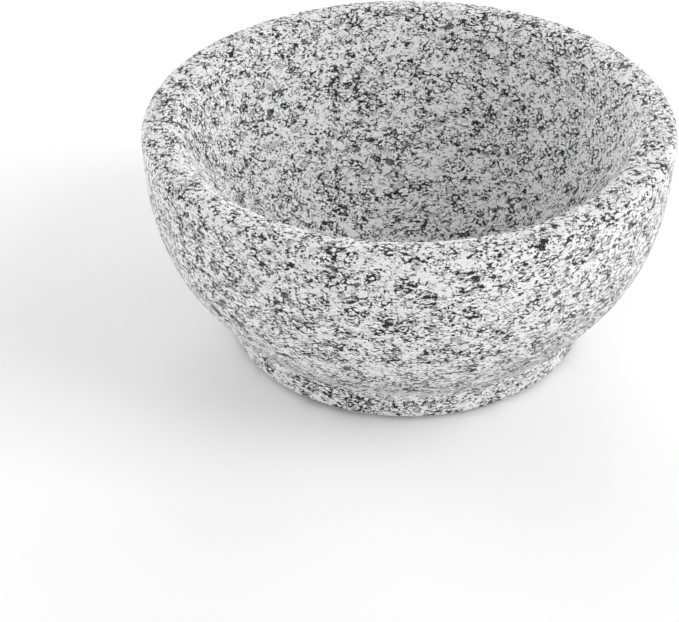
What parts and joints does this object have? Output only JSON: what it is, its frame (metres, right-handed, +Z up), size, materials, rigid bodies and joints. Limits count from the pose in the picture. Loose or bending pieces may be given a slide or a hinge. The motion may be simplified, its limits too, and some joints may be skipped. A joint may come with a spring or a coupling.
{
  "type": "mortar bowl",
  "caption": "Round molcajete (mortar bowl) of speckled grey granite with a thick rounded rim, a curved wall and a low disc foot on anti-slip pads.",
  "frame": {"origin": "on the bowl's axis, in the plane that the four pads stand on", "axes": "+Z up along the bowl's axis, out of its open mouth; X and Y lie between the pads"},
  "size_m": [0.16, 0.16, 0.074],
  "materials": {
    "granite": "honed, matte",
    "pad_rubber": "matte"
  },
  "bodies": {
    "root": {"bowl": "granite", "foot_pad_1": "pad_rubber", "foot_pad_2": "pad_rubber", "foot_pad_3": "pad_rubber", "foot_pad_4": "pad_rubber"}
  },
  "joints": []
}
